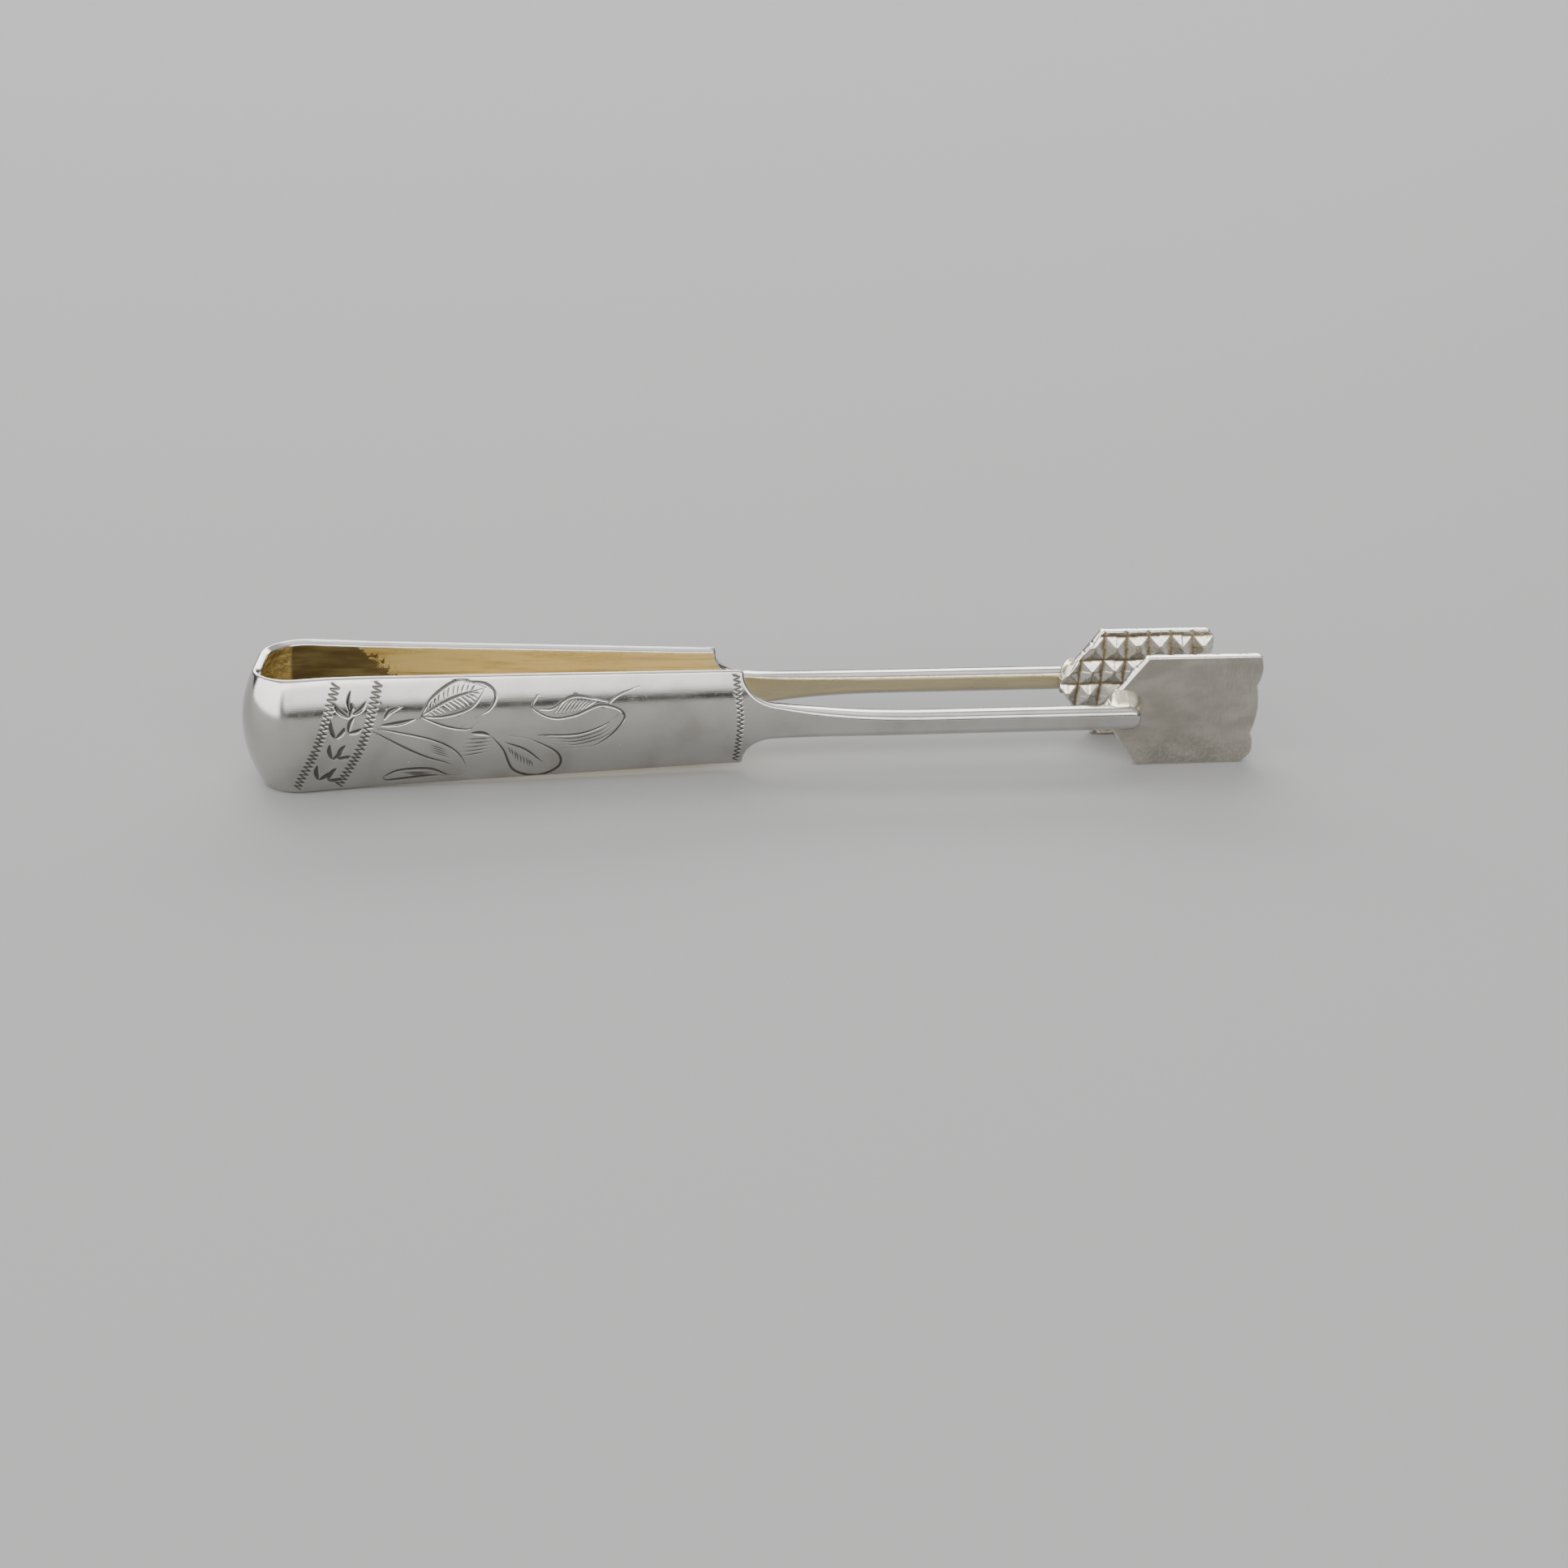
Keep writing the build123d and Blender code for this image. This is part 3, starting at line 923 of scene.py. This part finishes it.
def polished_face(s, lay):
    """Colour and roughness of the outer face: clouded and hazy, with dark cuts and dust."""
    cloud = s.noise(lay, scale=0.12, detail=4)
    color = s.mix(s.ramp(cloud, 0.42, 0.75), SILVER, SILVER_DULL)
    cut_depth = s.field("cut")
    color = s.mix(s.ramp(cut_depth, 0.12, 0.62, 0.0, 0.82), color, OXIDE)
    dots = specks(s, lay, pitch=2.6, size=0.15, share=0.25)
    color = s.mix(s.times(dots, 0.85), color, DUST)
    haze = s.noise(lay, scale=1.9, detail=5, roughness=0.7)
    rough = s.plus(s.ramp(cloud, 0.3, 0.8, 0.07, 0.17), s.ramp(haze, 0.5, 0.8, 0.0, 0.12))
    return color, s.plus(rough, s.times(dots, 0.4))


def tarnished_face(s, lay, run, height, mottle, stem_part):
    """Colour and roughness of the inner face: streaked gold, greyer on the stems."""
    streak = s.noise(s.stretch(lay, (0.09, 0.42, 0.4)), scale=1.0, detail=5)
    gold = s.mix(s.ramp(streak, 0.25, 0.6), GOLD_DEEP, GOLD_LIGHT)
    gold = s.mix(s.ramp(mottle, 0.5, 0.8, 0.0, 0.6), gold, GOLD_DEEP)
    line = s.noise(s.stretch(lay, (0.05, 1.1, 0.4)), scale=1.0, detail=3, roughness=0.5)
    gold = s.mix(s.ramp(line, 0.50, 0.68, 0.0, 0.6), gold, STREAK_BROWN)
    gold = s.mix(s.ramp(run, *GOLD_PALES, 0.0, 0.4), gold, GOLD_PALE)
    gold = s.mix(s.times(stem_part, 0.8), gold, STEM_GREY)
    # The dark patch has a ragged edge that leans towards the jaws as it goes down.
    ragged = s.noise(lay, scale=0.55, detail=6, roughness=0.75, distortion=0.8)
    reach = s.plus(run, s.times(height, 0.8))
    reach = s.plus(reach, s.times(s.math("SUBTRACT", ragged, 0.5), 16.0))
    patch = s.times(s.ramp(reach, *PATCH_ENDS), s.ramp(run, *PATCH_STARTS))
    dark = s.mix(s.ramp(streak, 0.4, 0.7), TARNISH_DARK, TARNISH_OLIVE)
    gold = s.mix(s.times(patch, 0.93), gold, dark)
    bow_mottle = s.times(s.ramp(run, *BOW_MOTTLE_ENDS), s.ramp(mottle, 0.40, 0.60))
    gold = s.mix(s.times(bow_mottle, 0.75), gold, MOTTLE_BROWN)
    return gold, s.plus(s.ramp(streak, 0.3, 0.7, 0.24, 0.36), s.times(patch, 0.1))


def strip_silver():
    """Polished silver with fine wear outside, and warm streaked tarnish inside."""
    s = Shader(bpy.data.materials.new("polished_silver"))
    lay = s.field("lay", "Vector")
    inside = s.field("inside")
    split = s.node("SeparateXYZ", {0: lay})
    run = s.math("ABSOLUTE", split.outputs[0])
    mottle = s.noise(s.stretch(lay, (0.5, 0.9, 0.9)), scale=1.0, detail=6, roughness=0.68, distortion=0.6)
    stem_part = s.ramp(run, *STEM_STARTS)
    outer_color, outer_rough = polished_face(s, lay)
    inner_color, inner_rough = tarnished_face(s, lay, run, split.outputs[1], mottle, stem_part)

    # The tarnish ends raggedly just inside the rims, and hides the metal except on the stems.
    ragged = s.times(s.math("SUBTRACT", mottle, 0.5), 0.5)
    tarnish = s.ramp(s.plus(inside, ragged), 0.62, 0.9)
    covered = s.times(tarnish, s.math("SUBTRACT", 1.0, stem_part))
    metallic = s.ramp(covered, 0, 1, 1.0, 0.5)

    scratches = s.noise(s.stretch(lay, (0.25, 9.0, 9.0)), scale=1.0, detail=4, roughness=0.6)
    cross = s.noise(s.stretch(lay, (5.0, 0.9, 3.0)), scale=1.0, detail=4, roughness=0.6, distortion=1.5)
    normal = s.bump(scratches, 0.004 * MM)
    normal = s.bump(cross, 0.002 * MM, normal)
    normal = s.bump(s.times(mottle, inside), 0.05 * MM, normal)
    color = s.mix(tarnish, outer_color, inner_color)
    return s.finish(color, s.blend(tarnish, outer_rough, inner_rough), normal, metallic)


def plate_silver():
    """Satin silver: brushed and clouded on the back, bright on the rim, brown in the grooves."""
    s = Shader(bpy.data.materials.new("satin_silver"))
    lay = s.field("lay", "Vector")
    hollow = s.field("hollow")
    rim = s.field("rim")
    back = s.field("back")
    split = s.node("SeparateXYZ", {0: lay})
    cloud = s.noise(s.stretch(lay, (0.16, 0.3, 0.2)), scale=1.0, detail=4)
    fine = s.noise(lay, scale=1.6, detail=5, roughness=0.7)
    satin = s.mix(s.ramp(cloud, 0.38, 0.68), SATIN, SATIN_LIGHT)
    # Paler, warmer patches towards the bottom of the plate's back.
    low = s.ramp(split.outputs[1], -2.5, -8.5)
    pale_low = s.times(s.ramp(fine, 0.45, 0.62), low)
    satin = s.mix(s.times(pale_low, 0.5), satin, PALE_LOW)
    # Small nicks on the back, painted bright as their glint: painted highlights.
    satin = s.mix(specks(s, lay, pitch=2.4, size=0.2, share=0.16), satin, NICK_GLINT)
    brushed = s.noise(s.stretch(lay, (7.0, 0.35, 1.0)), scale=1.0, detail=5, roughness=0.65)
    near_end = s.ramp(split.outputs[0], plate_corner, plate_end, 0.2, 1.0)
    streak = s.times(s.ramp(brushed, 0.4, 0.7), near_end)
    satin = s.mix(s.times(streak, 0.45), satin, SATIN_BRUSHED)
    bright = s.mix(s.ramp(fine, 0.4, 0.7), TOOTH_BRIGHT, TOOTH_DULL)
    uneven = s.times(s.math("SUBTRACT", fine, 0.5), 0.6)
    brown = s.ramp(s.plus(hollow, uneven), 0.72, 1.0)
    bright = s.mix(s.times(brown, 0.75), bright, GROOVE_BROWN)
    color = s.mix(back, bright, satin)
    rough = s.blend(back, s.ramp(fine, 0.3, 0.7, 0.16, 0.30), s.ramp(cloud, 0.3, 0.7, 0.34, 0.46))
    rough = s.blend(rim, rough, 0.18)
    normal = s.bump(s.times(brushed, near_end), 0.010 * MM)
    normal = s.bump(fine, 0.004 * MM, normal)
    return s.finish(color, rough, normal)


def solder_metal():
    """Silver solder: smooth and a little yellow, with brown painted shade below the stem."""
    s = Shader(bpy.data.materials.new("silver_solder"))
    lay = s.field("lay", "Vector")
    fine = s.noise(lay, scale=0.9, detail=4, roughness=0.6)
    split = s.node("SeparateXYZ", {0: lay})
    color = s.mix(s.ramp(fine, 0.4, 0.65), SOLDER_PALE, SOLDER_YELLOW)
    # Painted shade: the solder turns brown below the stem.
    under_stem_shade = s.ramp(split.outputs[1], 0.5, -2.2)
    color = s.mix(s.times(under_stem_shade, 0.8), color, UNDER_STEM_SHADE)
    normal = s.bump(s.noise(lay, scale=1.6, detail=2), 0.02 * MM)
    return s.finish(color, s.ramp(fine, 0.3, 0.7, 0.2, 0.30), normal)


# ---- Stage ----

CAMERA_PLACE = (-0.03339, -0.26014, 0.11328)
CAMERA_ANGLES = (-8.17, 65.73, 1.73)  # yaw, pitch and roll in degrees
CAMERA_LENS, CAMERA_SENSOR = 38.31, 36  # millimetres


def add_camera():
    """The camera looks down at the tongs from the front, nearly square to their length."""
    data = bpy.data.cameras.new("camera")
    data.sensor_width = CAMERA_SENSOR
    data.lens = CAMERA_LENS
    data.clip_start = 0.01
    camera = bpy.data.objects.new("camera", data)
    camera.location = CAMERA_PLACE
    yaw, pitch, roll = (math.radians(angle) for angle in CAMERA_ANGLES)
    turn = Matrix.Rotation(yaw, 3, "Z") @ Matrix.Rotation(pitch, 3, "X") @ Matrix.Rotation(roll, 3, "Z")
    camera.rotation_euler = turn.to_euler()
    bpy.context.scene.collection.objects.link(camera)
    bpy.context.scene.camera = camera


def add_floor():
    """A pale round floor, level under the tongs and rising very slowly to its edge."""
    level, edge, rise = 0.5, 7.0, 0.3
    spokes, circles = 96, 24
    angles = np.linspace(0, math.tau, spokes, endpoint=False)
    points = [(0.0, 0.0, 0.0)]
    for share in np.linspace(0, 1, circles):
        radius = level + (edge - level) * share
        points += [(radius * math.cos(a), radius * math.sin(a), rise * share**2) for a in angles]
    ring = np.arange(spokes)
    after = np.roll(ring, -1)
    faces = [(0, 1 + a, 1 + b) for a, b in zip(ring.tolist(), after.tolist())]
    for start in range(1, 1 + spokes * (circles - 1), spokes):
        band = (start + ring, start + spokes + ring, start + spokes + after, start + after)
        faces += np.stack(band, axis=-1).tolist()
    mesh = bpy.data.meshes.new("floor")
    mesh.from_pydata(points, [], faces)
    mesh.shade_smooth()
    s = Shader(bpy.data.materials.new("pale_floor"))
    s.plug(s.surface.inputs["Base Color"], FLOOR_GREY)
    s.plug(s.surface.inputs["Roughness"], 0.8)
    mesh.materials.append(s.block)
    floor = bpy.data.objects.new("floor", mesh)
    bpy.context.scene.collection.objects.link(floor)


# Each softbox: azimuth and elevation of its middle, half width and half height, soft edge
# (all in degrees), and its brightness.
SOFTBOXES = {
    "front": (-82, 25, 32, 13, 6, 2.3),
    "front_top": (-82, 37, 32, 5, 4, 3.0),
    "left": (-160, 17, 36, 19, 5, 4.2),
    "back": (90, 26, 32, 9, 3, 6.0),
    "high": (106, 56, 17, 13, 6, 4.0),
    "top": (0, 90, 22, 22, 9, 1.0),
}
HORIZON_LIGHT, ZENITH_LIGHT, ZENITH_HEIGHT = 0.045, 0.75, 0.75
BACKDROP_LIGHT = 0.83  # the plain backdrop that the camera sees beyond the floor


def softbox(s, toward, azimuth, elevation, half_width, half_height, soft, brightness):
    """The brightness that one soft rectangular light gives the sky in each direction."""
    values = (azimuth, elevation, half_width, half_height, soft)
    azimuth, elevation, half_width, half_height, soft = (math.radians(value) for value in values)
    turn = Matrix.Rotation(azimuth, 3, "Z") @ Matrix.Rotation(-elevation, 3, "Y")
    facing, sideways, upwards = (turn @ Vector(axis) for axis in ((1, 0, 0), (0, 1, 0), (0, 0, 1)))
    light = s.times(s.math("GREATER_THAN", s.dot(toward, facing), 0.0), brightness)
    for axis, half in ((sideways, half_width), (upwards, half_height)):
        away = s.math("ABSOLUTE", s.dot(toward, axis))
        light = s.times(light, s.ramp(away, math.sin(half + soft), math.sin(half - soft)))
    return light


def add_world():
    """A studio of soft lights in a dim room that is brighter overhead than near the horizon."""
    s = Shader(bpy.data.worlds.new("studio"), "Background")
    toward = s.node("TexCoord", {}).outputs["Generated"]
    height = s.node("SeparateXYZ", {0: toward}).outputs[2]
    light = s.ramp(height, 0.0, ZENITH_HEIGHT, HORIZON_LIGHT, ZENITH_LIGHT)
    for box in SOFTBOXES.values():
        light = s.plus(light, softbox(s, toward, *box))
    seen = s.node("LightPath", {}).outputs["Is Camera Ray"]
    s.plug(s.surface.inputs["Color"], (1.0, 1.0, 1.0, 1))
    s.plug(s.surface.inputs["Strength"], s.blend(seen, light, BACKDROP_LIGHT))
    bpy.context.scene.world = s.block


add_camera()
add_floor()
add_world()

silver = strip_silver()
satin = plate_silver()
solder_finish = solder_metal()
for half_name, (half_side, half_setback) in SIDES.items():
    strip_half_mesh(f"{half_name}_half_strip", half_side, half_setback, silver)
    plate_mesh(f"{half_name}_toothed_plate", half_side, half_setback, satin)
    solder_mesh(f"{half_name}_solder_fillet", half_side, half_setback, solder_finish)
